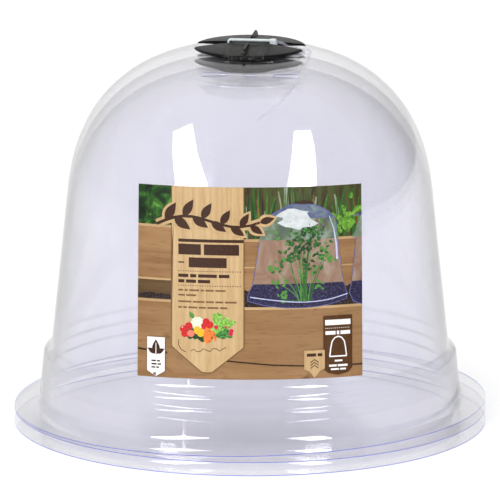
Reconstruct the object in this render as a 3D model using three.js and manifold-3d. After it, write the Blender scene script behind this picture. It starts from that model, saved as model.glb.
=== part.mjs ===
// A pack of three clear bell cloches, nested one over the next. Each is a thin vacuum-formed plastic
// shell with a wide flange. The two upper shells carry a turning black vent, a cable tie loops round the
// hub of the top vent, and a printed card is stuck to the front of the outer shell.
// Millimetres, +Z up. The origin is the centre of the underside of the lowest flange, and the card
// faces -Y.

import * as THREE from "three";
import { mergeVertices } from "three/addons/utils/BufferGeometryUtils.js";
import Module from "manifold-3d";

const wasm = await Module();
wasm.setup();

// ---- driving dimensions ----

// Shell, with heights above the underside of its own flange
const WALL = 0.4;
const FLANGE_R = 125;
const FOOT_R = 111.4; // foot of the near-upright band above the flange
const FOOT_Z = 3.6;
const BAND_TOP_R = 109.4;
const BAND_TOP_Z = 23.7;
const STEP_R = 105.1; // where the body starts, above the rounded step
const STEP_Z = 30;
const BODY_DRAFT = 0.103; // radius lost per millimetre of height
const BODY_BASE_R = STEP_R + BODY_DRAFT * STEP_Z;
const DOME_Z = 107.1; // where the body starts to round over
const DOME_RISE = 81.7;
const DOME_POWER = 2.6; // superellipse exponent of the dome
const SEAT_R = 31.2; // flat seat for the vent on top of the dome
const SEAT_Z = 186.65;
const SHELL_SIDES = 36;
const DOME_STEPS = 8;

// Nesting
const PITCH = 6.67;
const STACK = ["inner", "middle", "outer"];

// How far each flange's rim stands off its flat plane: mean, and swing from left (-X) to right (+X)
const RIM_WARP = { inner: [0, 0], middle: [0.36, -0.2], outer: [-2.9, 2.2] };

// Vent, with heights above the seat
const VENT_TURN = THREE.MathUtils.degToRad(-7);
const CAP_R = 29.6;
const CAP_GAP = 0.3;
const CAP_RIM_Z = 2.8;
const CAP_UNDER_Z = 1.8;
const BOSS_R = 9.8;
const BOSS_Z = 4.7;
const SKIRT_TOP_Z = 1.55; // the skirt ends here away from the middle of each leaf
const SKIRT_FADE = [15, 38].map(THREE.MathUtils.degToRad); // from the middle of a leaf, deep to shallow
const FIN_IN_R = 8;
const FIN_OUT_R = 27.6;
const FIN_Z = 5.9;
const FIN_THICK = 2.2;
const STEM_R = 3;
const STEM_DROP = 1.7;
const OPENING_HUB_R = 9.4;
const OPENING_HALF_ANGLE = THREE.MathUtils.degToRad(14);
const SEAT_OPENING_R = [12.5, 26];
const SEAT_OPENING_HALF_ANGLE = THREE.MathUtils.degToRad(12);
const SEAT_HOLE_R = 3.4;
const SEAT_HOLE_SIDES = 20;
const WASHER_R = 7;
const WASHER_HOLE_R = 3.3;
const WASHER_THICK = 0.7;
const WASHER_Z = -WALL - CAP_GAP;
const WASHER_EDGE = 0.2;
const WASHER_SIDES = 20;

// Cable tie
const STRAP_WIDTH = 2.5;
const STRAP_THICK = 1;
const LOOP_R = 11.4; // half the loop's length, out to the runs that drop through the openings
const LOOP_TOP_Z = 5.5;
const LOOP_LOW_Z = 0.9;
const LOOP_SIDESTEP = 4.9; // how far the lower run passes beside the stem
const HEAD_SIZE = [4, 4.4, 3.9];
const HEAD_X = 12.5;
const HEAD_Z = 4.2;
const STRAP_BEND_R = 1.2;
const STRAP_CORNER_STEPS = 3;
const LOW_RUN_STEPS = 10;
const LOOP_STATIONS = 44;
const TAIL_STATIONS = 30;
const TAIL_CLEARANCE = 0.95; // from the surface under the tail to the middle of its thickness

// The tail's first points, from the head down into the opening: distance from the axis, height
const TAIL_IN_OPENING = [
  [HEAD_X, LOOP_TOP_Z - 0.6],
  [17, 4.2],
  [20.5, 2.3],
  [25, 1.4],
];

// The rest of the tail over the dome: direction in degrees from +X, height measured from the seat
const TAIL_OVER_DOME = [
  [-9, 0],
  [-24, -0.5],
  [-42, -1.9],
  [-55, -4.2],
  [-62, -6.7],
  [-69, -9.7],
  [-76, -14.4],
  [-82, -18.4],
  [-87, -22.2],
];

// Card
const CARD_WIDTH = 123.5;
const CARD_HEIGHT = 100.6;
const CARD_THICK = 0.35;
const CARD_BOTTOM_Z = 33.25;
const CARD_GAP = 0.35;
const CARD_COLUMNS = 20;
const CARD_ROWS = 3;

// ---- helpers ----

function toSolid(geometry) {
  const bare = geometry.clone();
  bare.deleteAttribute("normal");
  bare.deleteAttribute("uv");
  const merged = mergeVertices(bare, 1e-4);
  return new wasm.Manifold(
    new wasm.Mesh({
      numProp: 3,
      vertProperties: new Float32Array(merged.attributes.position.array),
      triVerts: new Uint32Array(merged.index.array),
    }),
  );
}

function toGeometry(solid) {
  const mesh = solid.getMesh();
  const geometry = new THREE.BufferGeometry();
  geometry.setAttribute("position", new THREE.BufferAttribute(new Float32Array(mesh.vertProperties), 3));
  geometry.setIndex(new THREE.BufferAttribute(new Uint32Array(mesh.triVerts), 1));
  geometry.computeVertexNormals();
  return geometry;
}

function points(pairs) {
  return pairs.map(([x, y]) => new THREE.Vector2(x, y));
}

// Turns a closed (radius, height) outline about +Z
function latheUpright(outline, sides) {
  return new THREE.LatheGeometry(outline, sides).rotateX(Math.PI / 2);
}

// Moves every vertex to move(x, y, z)
function bend(geometry, move) {
  const place = geometry.attributes.position;
  for (let i = 0; i < place.count; i += 1) {
    const moved = move(place.getX(i), place.getY(i), place.getZ(i));
    place.setXYZ(i, moved.x, moved.y, moved.z);
  }
  return geometry;
}

// An upright prism on a sector of a ring, centred on the given direction
function sectorPrism(innerR, outerR, direction, halfAngle, lowZ, highZ) {
  const shape = new THREE.Shape();
  shape.absarc(0, 0, outerR, direction - halfAngle, direction + halfAngle, false);
  shape.absarc(0, 0, innerR, direction + halfAngle, direction - halfAngle, true);
  const options = { depth: highZ - lowZ, bevelEnabled: false, curveSegments: 6 };
  return toSolid(new THREE.ExtrudeGeometry(shape, options).translate(0, 0, lowZ));
}

// ---- shell ----

function bodyRadius(z) {
  return BODY_BASE_R - BODY_DRAFT * z;
}

// Outer radius of a shell above its step
function shellRadius(z) {
  const rise = THREE.MathUtils.clamp((z - DOME_Z) / DOME_RISE, 0, 1);
  return bodyRadius(z) * (1 - rise ** DOME_POWER) ** (1 / DOME_POWER);
}

function outerOutline() {
  const outline = points([[0, SEAT_Z]]);
  const seatAngle = Math.asin(((SEAT_Z - DOME_Z) / DOME_RISE) ** (DOME_POWER / 2));
  for (let i = 0; i <= DOME_STEPS; i += 1) {
    const angle = seatAngle * (1 - i / DOME_STEPS);
    const z = DOME_Z + DOME_RISE * Math.sin(angle) ** (2 / DOME_POWER);
    outline.push(new THREE.Vector2(i === 0 ? SEAT_R : shellRadius(z), z));
  }
  outline.push(
    ...points([
      [STEP_R, STEP_Z],
      [STEP_R + 0.9, STEP_Z - 2.1],
      [BAND_TOP_R - 1.4, BAND_TOP_Z + 2.6],
      [BAND_TOP_R - 0.3, BAND_TOP_Z + 1.4],
      [BAND_TOP_R, BAND_TOP_Z],
      [FOOT_R, FOOT_Z],
      [FOOT_R + 0.7, 1.7],
      [FOOT_R + 2.3, WALL + 0.3],
      [FOOT_R + 4, WALL],
      [FLANGE_R, WALL],
    ]),
  );
  return outline;
}

// The same outline moved inwards by the wall thickness, with mitred corners
function innerOutline(outer) {
  const inward = (a, b) => new THREE.Vector2(b.y - a.y, a.x - b.x).normalize();
  return outer.map((point, i) => {
    if (i === 0) return new THREE.Vector2(0, point.y - WALL);
    const before = inward(outer[i - 1], point);
    if (i === outer.length - 1) return point.clone().addScaledVector(before, WALL);
    const middle = before.clone().add(inward(point, outer[i + 1])).normalize();
    return point.clone().addScaledVector(middle, WALL / middle.dot(before));
  });
}

// The flange is floppy, so its rim droops or lifts a little round the pack
function warpFlange(geometry, [mean, swing]) {
  return bend(geometry, (x, y, z) => {
    const radius = Math.hypot(x, y);
    const reach = THREE.MathUtils.smoothstep(radius, FOOT_R - 1, FLANGE_R + 4);
    const full = THREE.MathUtils.smoothstep(FLANGE_R, FOOT_R - 1, FLANGE_R + 4);
    const near = z < FOOT_Z ? reach / full : 0;
    return { x, y, z: z + near * (mean + (swing * x) / FLANGE_R) };
  });
}

function makeShell(name) {
  const outer = outerOutline();
  const outline = [...outer, ...innerOutline(outer).reverse()];
  const skin = warpFlange(latheUpright(outline.reverse(), SHELL_SIDES), RIM_WARP[name]);
  let solid = toSolid(skin);
  const low = SEAT_Z - 3;
  const high = SEAT_Z + 3;
  const holeOutline = points([
    [0, low],
    [SEAT_HOLE_R, low],
    [SEAT_HOLE_R, high],
    [0, high],
  ]);
  solid = solid.subtract(toSolid(latheUpright(holeOutline, SEAT_HOLE_SIDES)));
  for (const side of [0, Math.PI]) {
    const [innerR, outerR] = SEAT_OPENING_R;
    const cutter = sectorPrism(innerR, outerR, VENT_TURN + side, SEAT_OPENING_HALF_ANGLE, low, high);
    solid = solid.subtract(cutter);
  }
  return toGeometry(solid);
}

// ---- vent ----

function makeCap() {
  const outline = points([
    [0, -STEM_DROP],
    [STEM_R, -STEM_DROP],
    [STEM_R, CAP_UNDER_Z],
    [BOSS_R, CAP_UNDER_Z],
    [CAP_R - 3.6, CAP_RIM_Z - 1.1],
    [CAP_R - 1.3, CAP_RIM_Z - 1.2],
    [CAP_R - 1, CAP_GAP],
    [CAP_R, CAP_GAP],
    [CAP_R, CAP_RIM_Z - 1],
    [CAP_R - 0.5, CAP_RIM_Z - 0.4],
    [CAP_R - 2.2, CAP_RIM_Z],
    [(CAP_R + BOSS_R) / 2, (CAP_RIM_Z + BOSS_Z) / 2 - 0.1],
    [BOSS_R + 1.8, BOSS_Z - 0.5],
    [BOSS_R, BOSS_Z],
    [0, BOSS_Z],
  ]);
  let solid = toSolid(raiseSkirt(latheUpright(outline, SHELL_SIDES)));
  for (const side of [0, Math.PI]) {
    const cutter = sectorPrism(OPENING_HUB_R, CAP_R + 2, side, OPENING_HALF_ANGLE, -0.5, BOSS_Z + 1);
    solid = solid.subtract(cutter);
    solid = solid.add(toSolid(makeFin().rotateZ(side + Math.PI / 2)));
  }
  return toGeometry(solid).rotateZ(VENT_TURN);
}

// The skirt is deep under each fin, towards +Y and -Y, and shallow over the rest of the leaf
function raiseSkirt(geometry) {
  return bend(geometry, (x, y, z) => {
    const fromFin = Math.atan2(Math.abs(x), Math.abs(y));
    const share = THREE.MathUtils.smoothstep(fromFin, ...SKIRT_FADE);
    const onEdge = Math.hypot(x, y) > CAP_R - 1.1 && z < CAP_GAP + 0.1;
    return { x, y, z: onEdge ? THREE.MathUtils.lerp(CAP_GAP, SKIRT_TOP_Z, share) : z };
  });
}

// A grip blade standing on the cap along +X, thinner at its rounded top
function makeFin() {
  const foot = CAP_UNDER_Z + 0.4;
  const shape = new THREE.Shape();
  shape.moveTo(FIN_IN_R, foot);
  shape.lineTo(FIN_OUT_R - 1.5, foot);
  shape.lineTo(FIN_OUT_R, CAP_RIM_Z - 0.2);
  shape.quadraticCurveTo(FIN_OUT_R - 0.3, FIN_Z, FIN_OUT_R - 2.6, FIN_Z);
  shape.lineTo(FIN_IN_R + 1, FIN_Z);
  shape.quadraticCurveTo(FIN_IN_R, FIN_Z, FIN_IN_R, FIN_Z - 1);
  const options = { depth: FIN_THICK, bevelEnabled: false, curveSegments: 5 };
  const blade = new THREE.ExtrudeGeometry(shape, options);
  return bend(blade.translate(0, 0, -FIN_THICK / 2), (x, y, z) => {
    const taper = 1 - 0.5 * THREE.MathUtils.smoothstep(y, CAP_RIM_Z, FIN_Z);
    return { x, y: -z * taper, z: y };
  });
}

function makeWasher() {
  const top = WASHER_Z;
  const low = WASHER_Z - WASHER_THICK;
  const outline = [
    [WASHER_HOLE_R, low],
    [WASHER_R - WASHER_EDGE, low],
    [WASHER_R, low + WASHER_EDGE],
    [WASHER_R, top - WASHER_EDGE],
    [WASHER_R - WASHER_EDGE, top],
    [WASHER_HOLE_R, top],
    [WASHER_HOLE_R, low],
  ];
  return latheUpright(points(outline), WASHER_SIDES);
}

// ---- cable tie ----

// A strap swept along a path: a long box whose stations follow the curve. across(t, along) gives the
// direction of the strap's width at each station.
function sweepStrap(curve, steps, across) {
  const strap = new THREE.BoxGeometry(STRAP_WIDTH, STRAP_THICK, 1, 1, 1, steps);
  return bend(strap, (x, y, z) => {
    const t = z + 0.5;
    const along = curve.getTangentAt(t);
    const wide = across(t, along);
    wide.addScaledVector(along, -wide.dot(along)).normalize();
    const thick = new THREE.Vector3().crossVectors(along, wide);
    return curve.getPointAt(t).addScaledVector(wide, x).addScaledVector(thick, y);
  });
}

// A quarter turn of the strap about (x, z), in the loop's upright plane
function strapCorner(x, z, startAngle) {
  const arc = [];
  for (let i = 0; i <= STRAP_CORNER_STEPS; i += 1) {
    const angle = startAngle + (i / STRAP_CORNER_STEPS) * (Math.PI / 2);
    arc.push(new THREE.Vector3(x + STRAP_BEND_R * Math.cos(angle), 0, z + STRAP_BEND_R * Math.sin(angle)));
  }
  return arc;
}

// From the head over the hub, down one opening, under the hub beside the stem, and up to the head
function loopCurve() {
  const endX = LOOP_R - STRAP_BEND_R;
  const lowRun = [];
  for (let i = 1; i < LOW_RUN_STEPS; i += 1) {
    const x = THREE.MathUtils.lerp(-endX, endX, i / LOW_RUN_STEPS);
    const sidestep = LOOP_SIDESTEP * Math.cos((Math.PI * x) / (2 * endX));
    lowRun.push(new THREE.Vector3(x, sidestep, LOOP_LOW_Z));
  }
  const stations = [
    new THREE.Vector3(HEAD_X - 1, 0, LOOP_TOP_Z),
    ...strapCorner(-endX, LOOP_TOP_Z - STRAP_BEND_R, Math.PI / 2),
    ...strapCorner(-endX, LOOP_LOW_Z + STRAP_BEND_R, Math.PI),
    ...lowRun,
    ...strapCorner(endX, LOOP_LOW_Z + STRAP_BEND_R, 1.5 * Math.PI),
    new THREE.Vector3(LOOP_R, 0, HEAD_Z),
  ];
  const path = new THREE.CurvePath();
  for (let i = 1; i < stations.length; i += 1) {
    path.add(new THREE.LineCurve3(stations[i - 1], stations[i]));
  }
  return path;
}

// How far the surface leans outwards at a height measured from the seat. The seat itself is level.
function outwardTilt(height) {
  if (height >= 0) return 0;
  const z = SEAT_Z + height;
  const span = 0.2;
  return Math.atan2(2 * span, shellRadius(z - span) - shellRadius(Math.min(z + span, SEAT_Z)));
}

// The tail leaves the head, lies in the opening and hangs over the dome towards the front
function tailCurve() {
  const stations = TAIL_IN_OPENING.map(([out, z]) => new THREE.Vector3(out, 0, z));
  for (const [degrees, height] of TAIL_OVER_DOME) {
    const angle = THREE.MathUtils.degToRad(degrees) - VENT_TURN;
    const tilt = outwardTilt(height);
    const radius = height < 0 ? shellRadius(SEAT_Z + height) : SEAT_R;
    const out = radius + TAIL_CLEARANCE * Math.sin(tilt);
    const z = height + TAIL_CLEARANCE * Math.cos(tilt);
    stations.push(new THREE.Vector3(out * Math.cos(angle), out * Math.sin(angle), z));
  }
  return new THREE.CatmullRomCurve3(stations, false, "centripetal");
}

function makeCableTie() {
  const tail = tailCurve();
  const sideways = () => new THREE.Vector3(0, 1, 0);
  const flatOnDome = (t, along) => {
    const here = tail.getPointAt(t);
    const tilt = outwardTilt(here.z - TAIL_CLEARANCE);
    const angle = Math.atan2(here.y, here.x);
    const away = new THREE.Vector3(Math.cos(angle), Math.sin(angle), 0).multiplyScalar(Math.sin(tilt));
    return away.setZ(Math.cos(tilt)).cross(along);
  };
  const head = new THREE.BoxGeometry(...HEAD_SIZE).translate(HEAD_X, 0, HEAD_Z);
  return toGeometry(
    toSolid(sweepStrap(loopCurve(), LOOP_STATIONS, sideways))
      .add(toSolid(head))
      .add(toSolid(sweepStrap(tail, TAIL_STATIONS, flatOnDome))),
  ).rotateZ(VENT_TURN);
}

// ---- card ----

// A flat card rolled onto the body's cone, so that its edges stay straight when it is laid flat. Above
// the body it stands clear of the rounded dome.
function makeCard() {
  const slope = Math.atan(BODY_DRAFT);
  const apexZ = BODY_BASE_R / BODY_DRAFT;
  const slant = (apexZ - CARD_BOTTOM_Z) / Math.cos(slope) - CARD_HEIGHT / 2;
  const sheet = new THREE.BoxGeometry(CARD_WIDTH, CARD_HEIGHT, CARD_THICK, CARD_COLUMNS, CARD_ROWS, 1);
  return bend(sheet, (x, y, z) => {
    const fromApex = Math.hypot(x, slant - y);
    const turn = Math.atan2(x, slant - y) / Math.sin(slope);
    const off = CARD_GAP + CARD_THICK / 2 + z;
    const radius = fromApex * Math.sin(slope) + off * Math.cos(slope);
    const height = apexZ - fromApex * Math.cos(slope) + off * Math.sin(slope);
    return { x: radius * Math.sin(turn), y: -radius * Math.cos(turn), z: height };
  });
}

// ---- assembly ----

function paint(colour, roughness, opacity = 1) {
  return new THREE.MeshStandardMaterial({
    color: colour,
    roughness,
    metalness: 0,
    opacity,
    transparent: opacity < 1,
  });
}

function piece(name, geometry, material) {
  const mesh = new THREE.Mesh(geometry, material);
  mesh.name = name;
  return mesh;
}

const pack = new THREE.Group();
STACK.forEach((level, i) => {
  const cloche = new THREE.Group();
  cloche.position.z = PITCH * i;
  cloche.add(piece(`${level}_shell`, makeShell(level), paint(0xdcdcf0, 0.08, 0.3)));
  const crown = new THREE.Group();
  crown.position.z = SEAT_Z;
  if (level !== "inner") {
    crown.add(piece(`${level}_vent_cap`, makeCap(), paint(0x1b1b1c, 0.45)));
    crown.add(piece(`${level}_vent_washer`, makeWasher(), paint(0x1b1b1c, 0.45)));
  }
  if (level === "outer") {
    crown.add(piece("cable_tie", makeCableTie(), paint(0xdfe4e2, 0.35)));
    cloche.add(piece("printed_card", makeCard(), paint(0xb08a58, 0.4)));
  }
  cloche.add(crown);
  pack.add(cloche);
});

export default pack;
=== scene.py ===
"""A pack of three nested clear bell cloches on a pale floor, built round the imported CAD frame.

Every length is in millimetres until a mesh is made, when MM turns it into metres. Only the camera,
the lights and the floor are given in metres. The heights of the seats, the pitch of the nesting and
the width of the flanges come from the frame.
"""

import math
import random

import bmesh
import bpy
from mathutils import Matrix, Vector


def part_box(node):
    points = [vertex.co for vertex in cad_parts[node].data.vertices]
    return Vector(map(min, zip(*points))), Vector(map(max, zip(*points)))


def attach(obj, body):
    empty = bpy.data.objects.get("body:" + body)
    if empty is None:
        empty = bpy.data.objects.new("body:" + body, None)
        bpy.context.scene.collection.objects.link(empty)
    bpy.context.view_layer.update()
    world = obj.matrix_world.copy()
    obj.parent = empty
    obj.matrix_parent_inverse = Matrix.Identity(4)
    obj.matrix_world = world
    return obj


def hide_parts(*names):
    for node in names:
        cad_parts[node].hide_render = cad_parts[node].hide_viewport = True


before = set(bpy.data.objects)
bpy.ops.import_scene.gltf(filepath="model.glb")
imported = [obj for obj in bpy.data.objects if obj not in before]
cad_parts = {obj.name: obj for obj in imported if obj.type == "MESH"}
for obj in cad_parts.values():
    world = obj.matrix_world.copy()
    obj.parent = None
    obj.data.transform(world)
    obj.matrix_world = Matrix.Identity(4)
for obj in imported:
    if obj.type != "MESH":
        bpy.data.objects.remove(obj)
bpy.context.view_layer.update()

MM = 0.001

# Places read from the frame, in millimetres
SEAT_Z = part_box("inner_shell")[1][2] / MM
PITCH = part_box("middle_shell")[1][2] / MM - SEAT_Z
FLANGE_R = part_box("inner_shell")[1][0] / MM
LEVELS = {"inner": 0, "middle": 1, "outer": 2}

# Shell, with heights above the underside of its own flange
WALL = 0.4
BODY_DRAFT = 0.103
BODY_BASE_R = 108.19
DOME_Z = 107.1
DOME_RISE = 81.7
DOME_POWER = 2.6
DOME_STEPS = 44
SEAT_R = 31.2
SEAT_LIP = 0.35
SHELL_SIDES = 240
FILLET_STEPS = 7
STEP_CORNERS = [(105.3, 28.3, 2.2), (109.35, 25.0, 1.3)]  # radius, height and fillet
FLANGE_CORNER = (111.72, WALL, 3.4)
FOOT_R = 111.4
FOOT_Z = 3.6
RIM_WARP = {"inner": (0, 0), "middle": (0.36, -0.2), "outer": (-2.9, 2.2)}

# Vent, with heights above its seat
VENT_TURN = math.radians(-7)
CAP_R = 29.6
CAP_GAP = 0.3
CAP_RIM_Z = 2.8
CAP_UNDER_Z = 1.8
SKIRT_TOP_Z = 1.55
SKIRT_FADE = (math.radians(15), math.radians(38))
BOSS_R = 9.8
BOSS_Z = 4.7
CAP_SIDES = 180
OPENING_HUB_R = 9.4
OPENING_HALF_ANGLE = 14
FIN_IN_R = 8
FIN_OUT_R = 27.6
FIN_Z = 5.9
FIN_THICK = 2.2
STEM_R = 3
STEM_DROP = 1.7
SEAT_HOLE_R = 3.4
SEAT_OPENING_R = (12.5, 26)
SEAT_OPENING_HALF_ANGLE = 12
WASHER_R = 7
WASHER_HOLE_R = 3.3
WASHER_THICK = 0.7
WASHER_SIDES = 96
WASHER_NOTCHES = 8

# Cable tie
STRAP_WIDTH = 2.5
STRAP_THICK = 1.0
LOOP_R = 11.4
LOOP_TOP_Z = 5.5
LOOP_LOW_Z = 0.9
LOOP_SIDESTEP = 4.9
STRAP_BEND_R = 1.2
STRAP_STEP = 0.2
HEAD_SIZE = (4, 4.4, 3.9)
HEAD_SLOPE = 0.7
MOUTH_WALL = 0.75
MOUTH_DEPTH = 0.8
HEAD_X = 12.5
HEAD_Z = 4.2
TAIL_CLEARANCE = 0.95
TAIL_IN_OPENING = [(HEAD_X, LOOP_TOP_Z - 0.6), (17, 4.2), (20.5, 2.3), (25, 1.4)]
TAIL_OVER_DOME = [(-9, 0), (-24, -0.5), (-42, -1.9), (-55, -4.2), (-62, -6.7)]
TAIL_OVER_DOME += [(-69, -9.7), (-76, -14.4), (-82, -18.4), (-87, -22.2)]
TOOTH_PITCH = 0.8
TOOTH_DEPTH = 0.22  # share of half the strap's thickness

# Card, in its own flat plane: u to the right from its middle, v up from its lower edge
CARD_WIDTH = 123.5
CARD_HEIGHT = 100.6
CARD_THICK = 0.35
CARD_GAP = 0.35
CARD_BOTTOM_Z = 33.25
COLUMN = 2.5
CARD_ROWS = 8
PRINT_STEP = 0.04
PRINT_STAGGER = 0.003

# Card picture, in the card's plane: the tag's sides, the bell's outlines and its contents
TAG = (-41.3, -3.4)
TEXT_LEFT = -37.7
BELL = [(-0.6, 41), (-0.5, 44.4), (2.3, 52.2), (6.9, 81), (10, 85.4), (17.4, 89.5), (22.9, 91.8)]
BELL += [(33.4, 91.3), (40.3, 88.8), (44.9, 85), (46.7, 81.9), (49.9, 57.9), (50.4, 53.5)]
BELL += [(52.9, 44.4), (53, 41)]
BELL_FOOT = [(44, 38.6), (35, 37.5), (26.2, 37.2), (17.4, 37.5), (8.4, 38.6)]
SECOND_BELL = [(64, 86.4), (61.7, 85.8), (59.5, 81), (57.7, 70.8), (55, 50.8), (53.6, 44)]
SECOND_BELL += [(56, 39.2), (64, 37.4)]
BELL_SOIL_TOP = 50
BELL_LEAVES_FOOT = 73
BELL_TOP_FOOT = 84
BELL_SHIFT = -0.7
BELL_REACH = (36, 96)  # heights clear of the bell's foot and top
PLANT_ROOT = (27.5, 40.8)
PLANT_MIDDLE = (28, 69)

# Tufts of the plant: middle, spread to the sides, spread upwards and number of leaves
PLANT_TUFTS = [
    (28, 70, 5, 4.8, 74),
    (31, 77, 4, 2.4, 26),
    (20, 62, 2.4, 2.4, 14),
    (37, 68, 2.6, 2.6, 18),
    (12.8, 58.3, 2, 1, 9),
    (14.4, 50.2, 2, 0.9, 8),
    (41, 61.4, 2.2, 1, 10),
    (33, 56, 2.2, 1.6, 10),
    (17, 42.6, 2.2, 0.8, 6),
    (36, 49, 2, 1, 6),
]

# Printed colours, 0 to 255, that drift between two shades, and the scale of the drift
FLAT_INKS = {
    "blade": ((74, 128, 44), (46, 92, 30), 20),
    "pale_blade": ((150, 156, 146), (118, 140, 96), 20),
    "straw": ((140, 92, 56), (112, 68, 40), 20),
    "gap": ((62, 40, 22), (48, 30, 16), 40),
    "tag_shade": ((124, 88, 54), (108, 74, 44), 30),
    "ink": ((66, 38, 22), (52, 28, 16), 80),
    "soft_ink": ((128, 92, 58), (112, 78, 48), 90),
    "white": ((250, 250, 248), (242, 242, 240), 60),
    "panel": ((86, 52, 18), (74, 42, 12), 30),
    "red": ((222, 44, 44), (176, 22, 28), 120),
    "pink": ((240, 146, 122), (222, 96, 78), 120),
    "radish": ((224, 34, 84), (176, 18, 60), 120),
    "orange": ((244, 142, 66), (222, 102, 36), 120),
    "yellow": ((250, 202, 52), (226, 160, 24), 120),
    "turnip": ((246, 248, 236), (196, 214, 168), 90),
    "dark_leaf": ((28, 74, 30), (16, 50, 22), 90),
    "mid_leaf": ((52, 108, 42), (36, 84, 34), 90),
    "light_leaf": ((94, 152, 70), (70, 126, 54), 90),
    "bell_rim": ((104, 108, 164), (80, 82, 136), 26),
    "bell_shine": ((216, 220, 222), (188, 196, 196), 24),
    "bell_line": ((206, 210, 240), (178, 184, 226), 40),
}

# Printed timber: pale, middle and dark, the stretch of its grain and the strength of its knots
WOOD_INKS = {
    "plank": ((158, 121, 82), (138, 102, 64), (100, 68, 40), (0.16, 1.5, 1), 0.8),
    "back_plank": ((162, 124, 84), (138, 101, 64), (98, 66, 38), (0.16, 1.6, 1), 0.6),
    "plank_edge": ((196, 164, 120), (176, 142, 98), (146, 110, 70), (0.3, 2, 1), 0.0),
    "inner_plank": ((104, 80, 50), (84, 62, 36), (58, 42, 24), (0.2, 3, 1), 0.4),
    "tag": ((206, 176, 132), (190, 156, 110), (150, 112, 68), (6, 0.26, 1), 0.0),
    "tag_halo": ((204, 174, 130), (188, 154, 108), (150, 112, 68), (6, 0.3, 1), 0.0),
}

# Printed patches: shades from dark to light, their scale and their stretch
LEAFY_INKS = {
    "hedge": (((12, 26, 10), (22, 50, 18), (44, 88, 28), (92, 146, 56)), 14, (1, 1, 1)),
    "bed": (((40, 32, 18), (62, 52, 28), (66, 78, 34), (88, 76, 46)), 10, (2.2, 0.5, 1)),
    "bush": (((46, 88, 24), (78, 128, 36), (106, 160, 52), (132, 182, 76)), 26, (1, 1, 1)),
    "soil": (((14, 10, 10), (32, 22, 20), (54, 40, 36), (84, 66, 58)), 90, (1, 1, 1)),
    "lettuce": (((58, 118, 34), (98, 160, 52), (148, 200, 88), (190, 226, 136)), 90, (1, 1, 1)),
    "cucumber": (((28, 74, 30), (44, 104, 42), (74, 140, 62), (104, 166, 86)), 70, (1, 1, 1)),
    "bell_back": (((128, 98, 82), (146, 114, 96), (154, 130, 112), (170, 152, 138)), 9, (1, 0.8, 1)),
    "bell_foliage": (((84, 96, 84), (104, 122, 96), (124, 140, 124), (150, 162, 152)), 10, (1, 1, 1)),
    "bell_top": (((62, 66, 110), (84, 92, 130), (108, 122, 136), (128, 146, 140)), 12, (1, 1, 1)),
    "bell_soil": (((18, 14, 30), (32, 28, 54), (48, 44, 80), (84, 82, 122)), 110, (1, 1, 1)),
}

# Camera, lights and floor, in metres. The world's strength is given for places from -Y to +Y. A softbox
# is its lower end, its upper end, the direction of its width and its width. Both were worked out from
# where the photograph shows their mirror images.
CAMERA_PLACE = (0, -4.7, 1.1544)
CAMERA_AIM = (0, 0, 0.092)
CAMERA_LENS = 655
WORLD_STRENGTHS = [(-1, 0.3), (-0.6, 0.5), (-0.2, 0.75), (0.2, 0.8), (0.42, 0.72), (0.7, 1), (1, 1)]
FILL_ENERGY = 2.35
FILL_ELEVATION = 50
FLOOR_R = 40
SOFTBOX_RADIANCE = 12
SOFTBOXES = {
    "left_softbox": ((-0.548, -1.054, 0.115), (-1.115, -0.348, 1.702), (1, -0.05, 0), 0.41),
    "right_softbox": ((0.483, -0.963, 0.115), (0.888, -0.612, 1.725), (0.77, 0.55, -0.3), 0.33),
}


# ---- colours and materials ----


def srgb(red, green, blue):
    """A colour given as 0 to 255 on a screen, as linear RGBA."""
    channels = [value / 255 for value in (red, green, blue)]
    linear = [c / 12.92 if c <= 0.04045 else ((c + 0.055) / 1.055) ** 2.4 for c in channels]
    return (*linear, 1)


def new_material(name):
    material = bpy.data.materials.new(name)
    material.use_nodes = True
    material.node_tree.nodes.clear()
    return material, material.node_tree


def add_node(tree, kind, inputs=None, **settings):
    """A shader node. inputs holds values or sockets by name or number, and settings its own properties."""
    made = tree.nodes.new(f"ShaderNode{kind}")
    for name, value in settings.items():
        setattr(made, name, value)
    for name, value in (inputs or {}).items():
        if isinstance(value, bpy.types.NodeSocket):
            tree.links.new(value, made.inputs[name])
        else:
            made.inputs[name].default_value = value
    return made


def place_node(tree, scale=(1, 1, 1), source="Object"):
    coordinates = add_node(tree, "TexCoord").outputs[source]
    return add_node(tree, "Mapping", {"Vector": coordinates, "Scale": scale}).outputs["Vector"]


def noise_node(tree, place, scale, detail=3, roughness=0.5, distortion=0):
    inputs = {"Vector": place, "Scale": scale, "Detail": detail, "Roughness": roughness}
    inputs["Distortion"] = distortion
    return add_node(tree, "TexNoise", inputs).outputs["Fac"]


def spread_node(tree, value, low, high, to_low=0.0, to_high=1.0):
    inputs = {"Value": value, "From Min": low, "From Max": high, "To Min": to_low, "To Max": to_high}
    return add_node(tree, "MapRange", inputs).outputs["Result"]


def maths_node(tree, operation, first, second=0.0):
    return add_node(tree, "Math", {0: first, 1: second}, operation=operation).outputs[0]


def mix_colours(tree, share, first, second):
    made = tree.nodes.new("ShaderNodeMix")
    made.data_type = "RGBA"
    for socket, value in ((made.inputs[0], share), (made.inputs[6], first), (made.inputs[7], second)):
        if isinstance(value, bpy.types.NodeSocket):
            tree.links.new(value, socket)
        else:
            socket.default_value = value
    return made.outputs[2]


def ramp_node(tree, value, stops):
    """A colour for a value, from (place, colour) stops."""
    ramp = tree.nodes.new("ShaderNodeValToRGB")
    made = ramp.color_ramp.elements
    for i, (at, colour) in enumerate(stops):
        stop = made[i] if i < 2 else made.new(at)
        stop.position = at
        stop.color = colour
    tree.links.new(value, ramp.inputs[0])
    return ramp.outputs[0]


def bump_node(tree, height, distance, strength=1.0):
    inputs = {"Height": height, "Distance": distance, "Strength": strength}
    return add_node(tree, "Bump", inputs).outputs["Normal"]


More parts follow.
